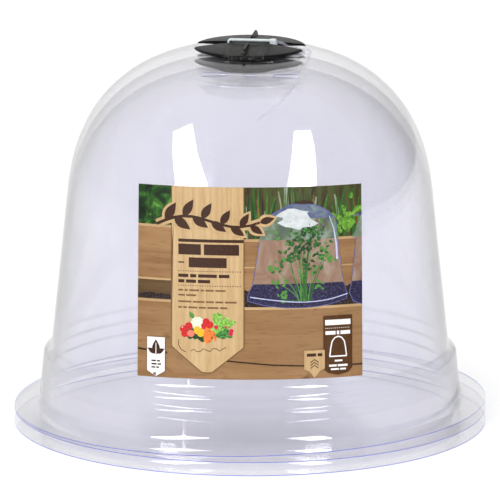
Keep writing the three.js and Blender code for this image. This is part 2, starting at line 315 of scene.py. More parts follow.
def set_output(tree, shader):
    add_node(tree, "OutputMaterial", {"Surface": shader})


def set_principled(tree, inputs):
    set_output(tree, add_node(tree, "BsdfPrincipled", inputs).outputs[0])


def clear_sheet(name, thin, thick):
    """Thin clear sheet: it lets light straight through with a faint violet tint that drifts from thin to
    thick, mirrors more and tints less the more it is seen edge on, and carries a little haze. The lighter
    tint edge on is painted light that keeps the rims pale."""
    material, tree = new_material(name)
    place = place_node(tree)
    waves = noise_node(tree, place, 22, detail=2)
    skin = noise_node(tree, place, 160, detail=2)
    height = maths_node(tree, "ADD", waves, maths_node(tree, "MULTIPLY", skin, 0.03))
    normal = bump_node(tree, height, 0.0006, 0.45)
    drift = noise_node(tree, place_node(tree, (1, 1, 0.35)), 26, detail=4, roughness=0.6)
    facing = add_node(tree, "LayerWeight", {"Blend": 0.5}).outputs["Facing"]
    mirror = spread_node(tree, maths_node(tree, "POWER", facing, 5.0), 0, 1, 0.04, 0.9)
    tint = mix_colours(tree, drift, thin, thick)
    # Painted light: the tint fades towards clear where the sheet is seen edge on, which keeps the rims pale.
    tint = mix_colours(tree, maths_node(tree, "POWER", facing, 2.0), tint, (0.998, 0.998, 1, 1))
    clear = add_node(tree, "BsdfTransparent", {"Color": tint}).outputs[0]
    haze_look = {"Base Color": srgb(236, 236, 246), "Roughness": 0.5, "Specular IOR Level": 0.2}
    haze = add_node(tree, "BsdfPrincipled", haze_look).outputs[0]
    milky = spread_node(tree, drift, 0.3, 0.75, 0.002, 0.016)
    body = add_node(tree, "MixShader", {0: milky, 1: clear, 2: haze}).outputs[0]
    gloss = add_node(tree, "BsdfGlossy", {"Roughness": 0.04, "Normal": normal}).outputs[0]
    set_output(tree, add_node(tree, "MixShader", {0: mirror, 1: body, 2: gloss}).outputs[0])
    return material


def clear_edge():
    """The cut edge of the sheet, where light that has run along inside it comes out violet-blue."""
    material, tree = new_material("clear_edge")
    grain = noise_node(tree, place_node(tree), 900, detail=2)
    colour = mix_colours(tree, grain, srgb(112, 122, 216), srgb(84, 92, 200))
    look = {"Base Color": colour, "Roughness": 0.25, "IOR": 1.53}
    solid = add_node(tree, "BsdfPrincipled", look).outputs[0]
    clear = add_node(tree, "BsdfTransparent", {"Color": (0.55, 0.58, 0.95, 1)}).outputs[0]
    set_output(tree, add_node(tree, "MixShader", {0: 0.8, 1: clear, 2: solid}).outputs[0])
    return material


def black_moulding():
    """Satin black plastic. The hub and the leaves beside the fins are spark-textured, and the leaves' ends
    are nearly smooth. On the textured part, pale grains are painted glints and the pits are painted shade."""
    material, tree = new_material("black_moulding")
    place = place_node(tree)
    across = (math.cos(VENT_TURN), math.sin(VENT_TURN), 0)
    aside = add_node(tree, "VectorMath", {0: place, 1: across}, operation="DOT_PRODUCT").outputs["Value"]
    on_hub = spread_node(tree, maths_node(tree, "ABSOLUTE", aside), 13 * MM, 10.5 * MM)
    grit = noise_node(tree, place, 1100, detail=3, roughness=0.7)
    pits_and_painted_pit_shade = spread_node(tree, noise_node(tree, place, 480, detail=1), 0.62, 0.72)
    rough_skin = maths_node(tree, "SUBTRACT", grit, maths_node(tree, "MULTIPLY", pits_and_painted_pit_shade, 1.4))
    fine = noise_node(tree, place, 2600, detail=2)
    height = maths_node(tree, "MULTIPLY", rough_skin, maths_node(tree, "ADD", on_hub, 0.05))
    painted_grain_glints = spread_node(tree, maths_node(tree, "MULTIPLY", grit, on_hub), 0.52, 0.68)
    height = maths_node(tree, "ADD", height, maths_node(tree, "MULTIPLY", fine, 0.12))
    # Painted shade: the pits are painted darker than the rest of the black.
    colour = mix_colours(tree, pits_and_painted_pit_shade, srgb(10, 10, 10), srgb(4, 4, 4))
    # Painted glints: pale grains on the textured hub stand for light caught by its texture.
    colour = mix_colours(tree, painted_grain_glints, colour, srgb(96, 94, 90))
    inputs = {
        "Base Color": colour,
        "Roughness": spread_node(tree, fine, 0.3, 0.7, 0.3, 0.42),
        "Specular IOR Level": 0.06,
        "Normal": bump_node(tree, height, 0.0006, 1.0),
    }
    set_principled(tree, inputs)
    return material


def natural_nylon(name, pale, deep, opacity):
    """Milky translucent nylon. The thin tail shows what lies under it."""
    material, tree = new_material(name)
    place = place_node(tree)
    cloud = noise_node(tree, place, 420, detail=3)
    inputs = {
        "Base Color": mix_colours(tree, cloud, pale, deep),
        "Roughness": 0.3,
        "IOR": 1.53,
        "Subsurface Weight": 0.35,
        "Subsurface Radius": (0.9, 1.0, 1.0),
        "Subsurface Scale": 0.0012,
        "Alpha": opacity,
        "Normal": bump_node(tree, noise_node(tree, place, 900, detail=2), 0.00008, 0.6),
    }
    set_principled(tree, inputs)
    return material


def print_shader(tree, colour):
    """Satin print on coated card, with a faint board texture under it."""
    fibre = noise_node(tree, place_node(tree), 1400, detail=2)
    inputs = {
        "Base Color": colour,
        "Roughness": 0.5,
        "Specular IOR Level": 0.14,
        "Normal": bump_node(tree, fibre, 0.00003, 0.5),
    }
    set_principled(tree, inputs)


def print_flat(name, first, second, scale=60):
    """A printed colour that drifts between two shades."""
    material, tree = new_material(name)
    drift = noise_node(tree, place_node(tree, source="UV"), scale, detail=4, roughness=0.6)
    print_shader(tree, mix_colours(tree, spread_node(tree, drift, 0.35, 0.65), first, second))
    return material


def print_wood(name, pale, mid, dark, stretch, knots=0.0):
    """Printed timber. stretch draws the grain out along u or v."""
    material, tree = new_material(name)
    place = place_node(tree, stretch, "UV")
    figure = noise_node(tree, place, 7, detail=2, distortion=0.6)
    grain = noise_node(tree, place, 55, detail=5, roughness=0.7)
    colour = mix_colours(tree, spread_node(tree, figure, 0.35, 0.68), pale, mid)
    colour = mix_colours(tree, spread_node(tree, grain, 0.52, 0.78, 0, 0.75), colour, dark)
    if knots:
        blotch = noise_node(tree, place_node(tree, (1, 1.4, 1), "UV"), 5.5, detail=3, distortion=0.8)
        colour = mix_colours(tree, spread_node(tree, blotch, 0.63, 0.75, 0, knots), colour, dark)
    print_shader(tree, colour)
    return material


def print_foliage(name, colours, scale, stretch=(1, 1, 1)):
    """Printed leaves out of focus: soft patches of several colours, from dark to light."""
    material, tree = new_material(name)
    place = place_node(tree, stretch, "UV")
    patches = noise_node(tree, place, scale, detail=3, roughness=0.62, distortion=0.9)
    last = len(colours) - 1
    stops = [(0.32 + 0.36 * i / last, colour) for i, colour in enumerate(colours)]
    print_shader(tree, ramp_node(tree, patches, stops))
    return material


def floor_paper():
    material, tree = new_material("floor_paper")
    mottle = noise_node(tree, place_node(tree), 3, detail=3)
    colour = mix_colours(tree, mottle, (0.92, 0.92, 0.92, 1), (0.94, 0.94, 0.94, 1))
    set_principled(tree, {"Base Color": colour, "Roughness": 0.9})
    return material


# ---- meshes ----


def make_piece(name, mesh, materials, sharp=35):
    """A bmesh in millimetres, as an object in metres with smooth faces and sharp creases."""
    bmesh.ops.recalc_face_normals(mesh, faces=mesh.faces)
    bmesh.ops.scale(mesh, vec=(MM, MM, MM), verts=mesh.verts)
    for face in mesh.faces:
        face.smooth = True
    data = bpy.data.meshes.new(name)
    mesh.to_mesh(data)
    mesh.free()
    data.set_sharp_from_angle(angle=math.radians(sharp))
    for material in materials:
        data.materials.append(material)
    piece = bpy.data.objects.new(name, data)
    bpy.context.scene.collection.objects.link(piece)
    return piece


def round_edges(piece, width, segments=2, angle=35):
    """Rounds the piece's sharp edges."""
    bevel = piece.modifiers.new("rounded_edges", "BEVEL")
    bevel.width = width * MM
    bevel.segments = segments
    bevel.limit_method = "ANGLE"
    bevel.angle_limit = math.radians(angle)
    bevel.harden_normals = True


def stand_for(piece, node, body):
    """The piece rides a body, and takes the place of a CAD node if one is named."""
    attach(piece, body)
    if node:
        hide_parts(node)


def slotted_lathe(upper, lower, sides, slots=(), bends=()):
    """A closed ring between two (radius, height) outlines of equal length, turned about +Z.

    Each slot is (first station, last station, half angle in degrees): a gap that is left out round +X
    and -X. The faces of the rim, the bore and the slots take material 1, and those from a bend's first
    station to its last take material 2, which on the shells paints shade into the bends.
    """
    mesh = bmesh.new()
    columns = []
    for j in range(sides):
        angle = 2 * math.pi * j / sides
        column = [
            [mesh.verts.new((r * math.cos(angle), r * math.sin(angle), z)) for r, z in outline]
            for outline in (upper, lower)
        ]
        columns.append(column)
    last = len(upper) - 1

    def open_slot(j, i):
        middle = (j % sides + 0.5) * 360 / sides
        from_axis = min(middle % 180, 180 - middle % 180)
        return any(a <= i < b and from_axis < half for a, b, half in slots)

    def add_face(*corners, cut=0):
        mesh.faces.new(corners).material_index = cut

    for j in range(sides):
        (top, under), (next_top, next_under) = columns[j], columns[(j + 1) % sides]
        for i in range(last):
            if open_slot(j, i):
                if not open_slot(j - 1, i):
                    add_face(top[i], top[i + 1], under[i + 1], under[i], cut=1)
                if not open_slot(j + 1, i):
                    add_face(next_top[i], next_under[i], next_under[i + 1], next_top[i + 1], cut=1)
                continue
            skin = 2 if any(a <= i < b for a, b in bends) else 0
            add_face(top[i], top[i + 1], next_top[i + 1], next_top[i], cut=skin)
            add_face(under[i], next_under[i], next_under[i + 1], under[i + 1], cut=skin)
            if i == last - 1 or open_slot(j, i + 1):
                add_face(top[i + 1], under[i + 1], next_under[i + 1], next_top[i + 1], cut=1)
            if (i == 0 and upper[0][0] > 0) or (i > 0 and open_slot(j, i - 1)):
                add_face(top[i], next_top[i], next_under[i], under[i], cut=1)
    bmesh.ops.remove_doubles(mesh, verts=mesh.verts, dist=1e-4)
    bmesh.ops.rotate(mesh, verts=mesh.verts, matrix=turned(VENT_TURN))
    return mesh


def turned(angle):
    return Matrix.Rotation(angle, 3, "Z")


def rounded(corners):
    """An outline through (radius, height, fillet radius) corners, with each fillet as an arc."""
    path = [Vector(corners[0][:2])]
    for before, corner, after in zip(corners, corners[1:], corners[2:]):
        point = Vector(corner[:2])
        back = (Vector(before[:2]) - point).normalized()
        ahead = (Vector(after[:2]) - point).normalized()
        half = back.angle(ahead) / 2
        reach = corner[2] / math.tan(half)
        centre = point + (back + ahead).normalized() * corner[2] / math.sin(half)
        start = point + back * reach - centre
        sweep = (point + ahead * reach - centre).angle_signed(start)
        for k in range(FILLET_STEPS + 1):
            angle = sweep * k / FILLET_STEPS
            turn = Vector((
                start.x * math.cos(angle) - start.y * math.sin(angle),
                start.x * math.sin(angle) + start.y * math.cos(angle),
            ))
            path.append(centre + turn)
    path.append(Vector(corners[-1][:2]))
    return path


# ---- shells ----


def body_radius(z):
    return BODY_BASE_R - BODY_DRAFT * z


def shell_radius(z):
    """Outer radius of a shell above its step."""
    rise = min(max((z - DOME_Z) / DOME_RISE, 0), 1)
    return body_radius(z) * (1 - rise**DOME_POWER) ** (1 / DOME_POWER)


def shell_outline():
    """The outside of a shell from the hole in its seat out to the rim of its flange."""
    seat = [SEAT_HOLE_R, 8, SEAT_OPENING_R[0], 19, SEAT_OPENING_R[1], 29, SEAT_R]
    outline = [Vector((radius, SEAT_Z)) for radius in seat]
    outline.append(Vector((SEAT_R + 0.3, SEAT_Z - SEAT_LIP)))
    outline.append(Vector((SEAT_R + 1.1, SEAT_Z - SEAT_LIP - 0.1)))
    top = SEAT_Z - SEAT_LIP - 0.4
    start = math.asin(((top - DOME_Z) / DOME_RISE) ** (DOME_POWER / 2))
    for i in range(DOME_STEPS):
        z = DOME_Z + DOME_RISE * math.sin(start * (1 - i / DOME_STEPS)) ** (2 / DOME_POWER)
        outline.append(Vector((shell_radius(z), z)))
    foot = [(body_radius(DOME_Z), DOME_Z, 0), *STEP_CORNERS, FLANGE_CORNER, (FLANGE_R, WALL, 0)]
    return outline + rounded(foot)


def wall_inside(outline):
    """The outline moved inwards by the wall's thickness."""
    inside = []
    for i, point in enumerate(outline):
        ahead = outline[min(i + 1, len(outline) - 1)] - outline[max(i - 1, 0)]
        inside.append(point + Vector((ahead.y, -ahead.x)).normalized() * WALL)
    return inside


def smooth_step(value, low, high):
    share = min(max((value - low) / (high - low), 0), 1)
    return share * share * (3 - 2 * share)


def warp_flange(mesh, mean, swing):
    """The flange is floppy, so its rim droops or lifts a little round the pack."""
    low, high = FOOT_R - 1, FLANGE_R + 4
    for vert in mesh.verts:
        if vert.co.z < FOOT_Z:
            reach = smooth_step(math.hypot(vert.co.x, vert.co.y), low, high)
            share = reach / smooth_step(FLANGE_R, low, high)
            vert.co.z += share * (mean + swing * vert.co.x / FLANGE_R)


def make_shell(level, materials):
    outline = shell_outline()
    inside = wall_inside(outline)
    stations = [round(point.x, 1) for point in outline[:8]]
    slot = (stations.index(SEAT_OPENING_R[0]), stations.index(SEAT_OPENING_R[1]), SEAT_OPENING_HALF_ANGLE)
    # The fillets of the steps and the flange, which take the painted shade of material 2
    fillets = [len(outline) - 1 - (FILLET_STEPS + 1) * count for count in (3, 2, 1)]
    bends = [(first, first + FILLET_STEPS) for first in fillets]
    mesh = slotted_lathe(outline, inside, SHELL_SIDES, [slot], bends)
    warp_flange(mesh, *RIM_WARP[level])
    bmesh.ops.translate(mesh, verts=mesh.verts, vec=(0, 0, PITCH * LEVELS[level]))
    shell = make_piece(f"{level}_clear_shell", mesh, materials)
    stand_for(shell, f"{level}_shell", f"{level}_cloche")


# ---- vents ----


def cap_outlines():
    """The cap's upper and lower outlines, from its axis out to its rim, station for station."""
    upper = [
        (0, BOSS_Z),
        (STEM_R, BOSS_Z),
        (6, BOSS_Z),
        (7.6, BOSS_Z),
        (8.8, BOSS_Z),
        (OPENING_HUB_R, BOSS_Z - 0.03),
        (BOSS_R, BOSS_Z - 0.14),
        (BOSS_R + 1.0, BOSS_Z - 0.36),
        (BOSS_R + 2.2, BOSS_Z - 0.54),
        (15.5, BOSS_Z - 0.76),
        (20, 3.62),
        (24.5, 3.13),
        (CAP_R - 2.2, CAP_RIM_Z),
        (CAP_R - 1.2, CAP_RIM_Z - 0.14),
        (CAP_R - 0.4, CAP_RIM_Z - 0.46),
        (CAP_R, CAP_RIM_Z - 1),
        (CAP_R, CAP_GAP),
    ]
    lower = [
        (0, -STEM_DROP),
        (STEM_R - 0.4, -STEM_DROP),
        (STEM_R, -STEM_DROP + 0.4),
        (STEM_R, CAP_UNDER_Z - 0.5),
        (STEM_R + 0.5, CAP_UNDER_Z),
        (OPENING_HUB_R, CAP_UNDER_Z),
        (BOSS_R, CAP_UNDER_Z),
        (BOSS_R + 1.0, CAP_UNDER_Z),
        (BOSS_R + 2.2, CAP_UNDER_Z - 0.02),
        (15.5, 1.77),
        (20, 1.74),
        (24.5, 1.71),
        (CAP_R - 3, 1.68),
        (CAP_R - 2, 1.64),
        (CAP_R - 1.3, 1.6),
        (CAP_R - 1.1, 1.56),
        (CAP_R - 1, CAP_GAP),
    ]
    return upper, lower


def raise_skirt(mesh):
    """The skirt is deep at the middle of each leaf, beside its fin, and fades out towards the leaf's ends."""
    for vert in mesh.verts:
        x, y, z = vert.co
        if math.hypot(x, y) > CAP_R - 1.05 and z < CAP_GAP + 0.1:
            turn = math.atan2(y, x) - VENT_TURN
            from_fin = math.atan2(abs(math.cos(turn)), abs(math.sin(turn)))
            vert.co.z += (SKIRT_TOP_Z - CAP_GAP) * smooth_step(from_fin, *SKIRT_FADE)


def make_fin():
    """A grip blade standing on the cap along +X, thinner at its rounded top."""
    foot = CAP_UNDER_Z + 0.4
    corners = [
        (FIN_IN_R, foot, 0),
        (FIN_IN_R, FIN_Z, 1.2),
        (FIN_OUT_R - 0.4, FIN_Z, 2.8),
        (FIN_OUT_R, CAP_RIM_Z - 0.3, 0.3),
        (FIN_OUT_R - 1.5, foot, 0),
    ]
    path = rounded(corners)
    mesh = bmesh.new()
    sides = []
    for side in (-1, 1):
        ring = []
        for x, z in path:
            half = FIN_THICK / 2 * (1 - 0.5 * smooth_step(z, CAP_RIM_Z, FIN_Z))
            ring.append(mesh.verts.new((x, side * half, z)))
        sides.append(ring)
        mesh.faces.new(ring)
    for i in range(len(path)):
        k = (i + 1) % len(path)
        mesh.faces.new((sides[0][i], sides[0][k], sides[1][k], sides[1][i]))
    return mesh


def make_vent(level, black):
    body = f"{level}_vent"
    lift = (0, 0, SEAT_Z + PITCH * LEVELS[level])
    upper, lower = cap_outlines()
    slot = (5, len(upper) - 1, OPENING_HALF_ANGLE)
    mesh = slotted_lathe(upper, lower, CAP_SIDES, [slot])
    raise_skirt(mesh)
    bmesh.ops.translate(mesh, verts=mesh.verts, vec=lift)
    cap = make_piece(f"{level}_cap", mesh, [black, black])
    round_edges(cap, 0.15)
    stand_for(cap, f"{level}_vent_cap", body)
    for name, angle in (("front", -90), ("rear", 90)):
        mesh = make_fin()
        bmesh.ops.rotate(mesh, verts=mesh.verts, matrix=turned(VENT_TURN + math.radians(angle)))
        bmesh.ops.translate(mesh, verts=mesh.verts, vec=lift)
        fin = make_piece(f"{level}_{name}_fin", mesh, [black], sharp=30)
        round_edges(fin, 0.35, segments=3, angle=30)
        stand_for(fin, None, body)
    make_washer(level, black, lift)


def make_washer(level, black, lift):
    """The push-on retainer under the shell, dished a little and notched round its bore."""
    top = -WALL - CAP_GAP
    low = top - WASHER_THICK
    upper = [(WASHER_HOLE_R, top - 0.2), (4.6, top - 0.08), (5.4, top), (6.7, top), (WASHER_R, top - 0.25)]
    lower = [(WASHER_HOLE_R, low), (4.6, low), (5.4, low), (6.7, low), (WASHER_R, low + 0.2)]
    mesh = slotted_lathe(upper, lower, WASHER_SIDES)
    for vert in mesh.verts:
        radius = math.hypot(vert.co.x, vert.co.y)
        if radius < 3.5:
            wave = math.cos(WASHER_NOTCHES * math.atan2(vert.co.y, vert.co.x))
            grow = 1 + 0.2 * smooth_step(wave, 0.55, 0.8)
            vert.co.x *= grow
            vert.co.y *= grow
    bmesh.ops.translate(mesh, verts=mesh.verts, vec=lift)
    washer = make_piece(f"{level}_retainer", mesh, [black, black])
    round_edges(washer, 0.08)
    stand_for(washer, f"{level}_vent_washer", f"{level}_vent")


# ---- cable tie ----


def outward_tilt(height):
    """How far the surface leans outwards at a height measured from the seat. The seat is level."""
    if height >= 0:
        return 0
    z = SEAT_Z + height
    span = 0.2
    return math.atan2(2 * span, shell_radius(z - span) - shell_radius(min(z + span, SEAT_Z)))


def arc_points(x, z, start):
    steps = 6
    angles = [start + math.pi / 2 * k / steps for k in range(steps + 1)]
    return [Vector((x + STRAP_BEND_R * math.cos(a), 0, z + STRAP_BEND_R * math.sin(a))) for a in angles]


def loop_route():
    """From the head over the hub, down one opening, under the hub beside the stem, up to the head."""
    end = LOOP_R - STRAP_BEND_R
    low_run = []
    steps = 24
    for i in range(1, steps):
        x = -end + 2 * end * i / steps
        low_run.append(Vector((x, LOOP_SIDESTEP * math.cos(math.pi * x / (2 * end)), LOOP_LOW_Z)))
    return [
        Vector((HEAD_X - 1, 0, LOOP_TOP_Z)),
        *arc_points(-end, LOOP_TOP_Z - STRAP_BEND_R, math.pi / 2),
        *arc_points(-end, LOOP_LOW_Z + STRAP_BEND_R, math.pi),
        *low_run,
        *arc_points(end, LOOP_LOW_Z + STRAP_BEND_R, 1.5 * math.pi),
        Vector((LOOP_R, 0, HEAD_Z)),
    ]


def tail_route():
    route = [Vector((out, 0, z)) for out, z in TAIL_IN_OPENING]
    for degrees, height in TAIL_OVER_DOME:
        angle = math.radians(degrees) - VENT_TURN
        tilt = outward_tilt(height)
        radius = shell_radius(SEAT_Z + height) if height < 0 else SEAT_R
        out = radius + TAIL_CLEARANCE * math.sin(tilt)
        z = height + TAIL_CLEARANCE * math.cos(tilt)
        route.append(Vector((out * math.cos(angle), out * math.sin(angle), z)))
    return route


def smooth_route(route, per_span=14):
    """A Catmull-Rom curve through the route's points."""
    padded = [2 * route[0] - route[1], *route, 2 * route[-1] - route[-2]]
    smooth = []
    for a, b, c, d in zip(padded, padded[1:], padded[2:], padded[3:]):
        for k in range(per_span):
            t = k / per_span
            line = 2 * b + (c - a) * t
            bend = (2 * a - 5 * b + 4 * c - d) * t**2
            twist = (3 * b - a - 3 * c + d) * t**3
            smooth.append(0.5 * (line + bend + twist))
    smooth.append(route[-1])
    return smooth


def even_steps(route, step):
    """Points along the route at an even spacing."""
    even = [route[0]]
    left = step
    for start, end in zip(route, route[1:]):
        span = (end - start).length
        while left < span:
            even.append(start.lerp(end, left / span))
            left += step
        left -= span
    even.append(route[-1])
    return even


def sweep_strap(route, across, width, thick):
    """A flat strap along the route, with rounded edges and ratchet teeth on its under side.

    across(point, along) gives the direction of its width, and width and thick give its size at a share
    of its length."""
    mesh = bmesh.new()
    rings = []
    travelled = 0
    for i, point in enumerate(route):
        ahead = route[min(i + 1, len(route) - 1)] - route[max(i - 1, 0)]
        if i:
            travelled += (point - route[i - 1]).length
        along = ahead.normalized()
        wide = across(point, along)
        wide = (wide - along * wide.dot(along)).normalized()
        up = along.cross(wide)
        half_w, half_t = width(i / (len(route) - 1)) / 2, thick(i / (len(route) - 1)) / 2
        tooth = TOOTH_DEPTH * half_t * ((travelled / TOOTH_PITCH) % 1 < 0.5)
        section = [
            (-1, -0.5),
            (-0.88, -1),
            (-0.6, -1 + tooth / half_t),
            (0.6, -1 + tooth / half_t),
            (0.88, -1),
            (1, -0.5),
            (1, 0.5),
            (0.88, 1),
            (-0.88, 1),
            (-1, 0.5),
        ]
        rings.append([mesh.verts.new(point + wide * half_w * x + up * half_t * y) for x, y in section])
    for ring, after in zip(rings, rings[1:]):
        for k in range(len(ring)):
            n = (k + 1) % len(ring)
            mesh.faces.new((ring[k], ring[n], after[n], after[k]))
    mesh.faces.new(rings[0])
    mesh.faces.new(reversed(rings[-1]))
    return mesh


def place_tie_part(name, mesh, material, node=None, sharp=40):
    bmesh.ops.rotate(mesh, verts=mesh.verts, matrix=turned(VENT_TURN))
    bmesh.ops.translate(mesh, verts=mesh.verts, vec=(0, 0, SEAT_Z + 2 * PITCH))
    piece = make_piece(name, mesh, [material], sharp)
    stand_for(piece, node, "outer_vent")
    return piece


def make_cable_tie():
    nylon = natural_nylon("natural_nylon", srgb(226, 234, 236), srgb(198, 208, 211), 1.0)
    thin_nylon = natural_nylon("natural_nylon_tail", srgb(206, 206, 216), srgb(180, 180, 194), 0.24)

    def sideways(point, along):
        return Vector((0, 1, 0))

    def flat_on_dome(point, along):
        tilt = outward_tilt(point.z - TAIL_CLEARANCE)
        out = Vector((point.x, point.y, 0)).normalized()
        face = out * math.sin(tilt) + Vector((0, 0, math.cos(tilt)))
        return face.cross(along)

    loop = sweep_strap(
        even_steps(loop_route(), STRAP_STEP), sideways, lambda t: STRAP_WIDTH, lambda t: STRAP_THICK
    )
    place_tie_part("tie_loop", loop, nylon, "cable_tie")
    tail = sweep_strap(
        even_steps(smooth_route(tail_route()), STRAP_STEP),
        flat_on_dome,
        lambda t: STRAP_WIDTH - 1.5 * smooth_step(t, 0.08, 0.4),
        lambda t: STRAP_THICK - 0.4 * smooth_step(t, 0.08, 0.4),
    )
    place_tie_part("tie_tail", tail, thin_nylon)
    make_tie_head(nylon)


def make_tie_head(nylon):
    """The ratchet head: a chamfered block with a mouth for the strap."""
    length, width, height = HEAD_SIZE
    mesh = bmesh.new()
    bmesh.ops.create_cube(mesh, size=1)
    bmesh.ops.scale(mesh, verts=mesh.verts, vec=(length, width, height))
    for vert in mesh.verts:
        if vert.co.z > 0 and vert.co.x > 0:
            vert.co.x -= HEAD_SLOPE
    mouths = [face for face in mesh.faces if abs(face.normal.x) > 0.7]
    bmesh.ops.inset_region(mesh, faces=mouths, thickness=MOUTH_WALL)
    for face in mouths:
        inward = -MOUTH_DEPTH * face.normal
        for vert in face.verts:
            vert.co += inward
    bmesh.ops.translate(mesh, verts=mesh.verts, vec=(HEAD_X, 0, HEAD_Z))
    head = place_tie_part("tie_head", mesh, nylon, sharp=30)
    round_edges(head, 0.3, segments=3, angle=30)


# ---- card ----


def card_point(u, v, lift):
    """A point of the flat card rolled onto the body's cone, at a height off that cone."""
    slope = math.atan(BODY_DRAFT)
    apex = BODY_BASE_R / BODY_DRAFT
    slant = (apex - CARD_BOTTOM_Z) / math.cos(slope)
    from_apex = math.hypot(u, slant - v)
    turn = math.atan2(u, slant - v) / math.sin(slope)
    radius = from_apex * math.sin(slope) + lift * math.cos(slope)
    z = apex - from_apex * math.cos(slope) + lift * math.sin(slope) + 2 * PITCH
    return Vector((radius * math.sin(turn), -radius * math.cos(turn), z))


def split_columns(mesh):
    """Cuts the flat mesh along even upright lines, so that it can follow the card's curve."""
    count = int(CARD_WIDTH / 2 / COLUMN) + 1
    for i in range(-count, count + 1):
        bmesh.ops.bisect_plane(
            mesh,
            geom=[*mesh.verts, *mesh.edges, *mesh.faces],
            plane_co=(i * COLUMN, 0, 0),
            plane_no=(1, 0, 0),
            dist=1e-4,
        )


def roll_onto_card(mesh, lift):
    """Gives flat faces their place on the card as UVs in tenths of a metre, then rolls them onto it."""
    layer = mesh.loops.layers.uv.new("print")
    for face in mesh.faces:
        for corner in face.loops:
            corner[layer].uv = (corner.vert.co.x / 100, corner.vert.co.y / 100)
    for vert in mesh.verts:
        vert.co = card_point(vert.co.x, vert.co.y, lift + vert.co.z)


def inside_card(u, v):
    half = CARD_WIDTH / 2 - 0.05
    return (min(max(u, -half), half), min(max(v, 0.05), CARD_HEIGHT - 0.05))


def print_layer(name, level, shapes):
    """Flat printed shapes, each (outline in card millimetres, material), as one piece on the card.

    Levels count outwards from the board, so that a sheet with a higher level covers the lower ones."""
    materials = list(dict.fromkeys(material for _, material in shapes))
    mesh = bmesh.new()
    for i, (outline, material) in enumerate(shapes):
        rise = PRINT_STAGGER * (i % 12)
        corners = [mesh.verts.new((*inside_card(u, v), rise)) for u, v in outline]
        mesh.faces.new(corners).material_index = materials.index(material)
    bmesh.ops.triangulate(mesh, faces=mesh.faces)
    split_columns(mesh)
    bmesh.ops.dissolve_degenerate(mesh, edges=mesh.edges, dist=1e-3)
    roll_onto_card(mesh, CARD_GAP + CARD_THICK + PRINT_STEP * level)
    piece = make_piece(name, mesh, materials, sharp=80)
    turn_faces_out(piece)
    stand_for(piece, None, "outer_cloche")


def turn_faces_out(piece):
    """Turns a printed sheet's faces away from the cloche's axis."""
    mesh = bmesh.new()
    mesh.from_mesh(piece.data)
    backward = [f for f in mesh.faces if f.normal.dot(f.calc_center_median() * Vector((1, 1, 0))) < 0]
    bmesh.ops.reverse_faces(mesh, faces=backward)
    mesh.to_mesh(piece.data)
    mesh.free()


def make_card_board(board):
    mesh = bmesh.new()
    count = int(CARD_WIDTH / 2 / COLUMN)
    us = [-CARD_WIDTH / 2, *(COLUMN * i for i in range(-count, count + 1)), CARD_WIDTH / 2]
    vs = [CARD_HEIGHT * k / CARD_ROWS for k in range(CARD_ROWS + 1)]
    sheets = []
    for lift in (CARD_GAP, CARD_GAP + CARD_THICK):
        sheets.append([[mesh.verts.new(card_point(u, v, lift)) for v in vs] for u in us])
    back, front = sheets
    wide, tall = len(front), len(front[0])
    for i in range(wide - 1):
        for k in range(tall - 1):
            mesh.faces.new((front[i][k], front[i + 1][k], front[i + 1][k + 1], front[i][k + 1]))
            mesh.faces.new((back[i][k], back[i][k + 1], back[i + 1][k + 1], back[i + 1][k]))
    for i in range(wide - 1):
        for k in (0, tall - 1):
            mesh.faces.new((front[i][k], back[i][k], back[i + 1][k], front[i + 1][k]))
    for k in range(tall - 1):
        for i in (0, wide - 1):
            mesh.faces.new((front[i][k], front[i][k + 1], back[i][k + 1], back[i][k]))
    piece = make_piece("card_board", mesh, [board], sharp=60)
    stand_for(piece, "printed_card", "outer_cloche")


def rectangle(left, bottom, right, top):
    return [(left, bottom), (right, bottom), (right, top), (left, top)]


def leant(u, v, x, y, tilt):
    """The point (x, y) turned by tilt degrees and moved to (u, v)."""
    lean = math.radians(tilt)
    return (u + x * math.cos(lean) - y * math.sin(lean), v + x * math.sin(lean) + y * math.cos(lean))


def ellipse(u, v, width, height, tilt=0, steps=20):
    """An ellipse of the given full width and height, turned by tilt degrees."""
    outline = []
    for i in range(steps):
        a = 2 * math.pi * i / steps
        outline.append(leant(u, v, width / 2 * math.cos(a), height / 2 * math.sin(a), tilt))
    return outline


def ribbon(points, widths):
    """A tapering band along a list of points."""
    left, right = [], []
    for i, (u, v) in enumerate(points):
        before, after = points[max(i - 1, 0)], points[min(i + 1, len(points) - 1)]
        along = Vector((after[0] - before[0], after[1] - before[1])).normalized()
        share = i / (len(points) - 1)
        half = (widths[0] + (widths[1] - widths[0]) * share) / 2
        left.append((u - along.y * half, v + along.x * half))
        right.append((u + along.y * half, v - along.x * half))
    return left + right[::-1]


def leaf(u, v, length, width, tilt, lobes=0):
    """A pointed leaf from its stalk at (u, v), with scalloped edges if it has lobes."""
    steps = 6 * lobes if lobes else 10
    outline = []
    for side in (1, -1):
        shares = range(steps + 1) if side == 1 else range(steps - 1, 0, -1)
        for k in shares:
            t = k / steps
            swell = math.sin(math.pi * t**0.8)
            if lobes:
                swell *= 0.62 + 0.38 * abs(math.sin(math.pi * lobes * t))
            outline.append(leant(u, v, length * t, side * width / 2 * swell, tilt))
    return outline


def word_blocks(left, right, bottom, height, words, material, gap=1.6):
    """A line of plain blocks, one for each share in words, where a label would have its words."""
    total = sum(words)
    room = right - left - gap * (len(words) - 1)
    shapes = []
    at = left
    for share in words:
        end = at + room * share / total
        shapes.append((rectangle(at, bottom, end, bottom + height), material))
        at = end + gap
    return shapes


def dotted_line(left, right, v, material, pitch=1.3, size=0.5):
    count = int((right - left) / pitch)
    starts = [left + pitch * i for i in range(count)]
    return [(rectangle(at, v, at + size, v + size), material) for at in starts]


# ---- card picture ----

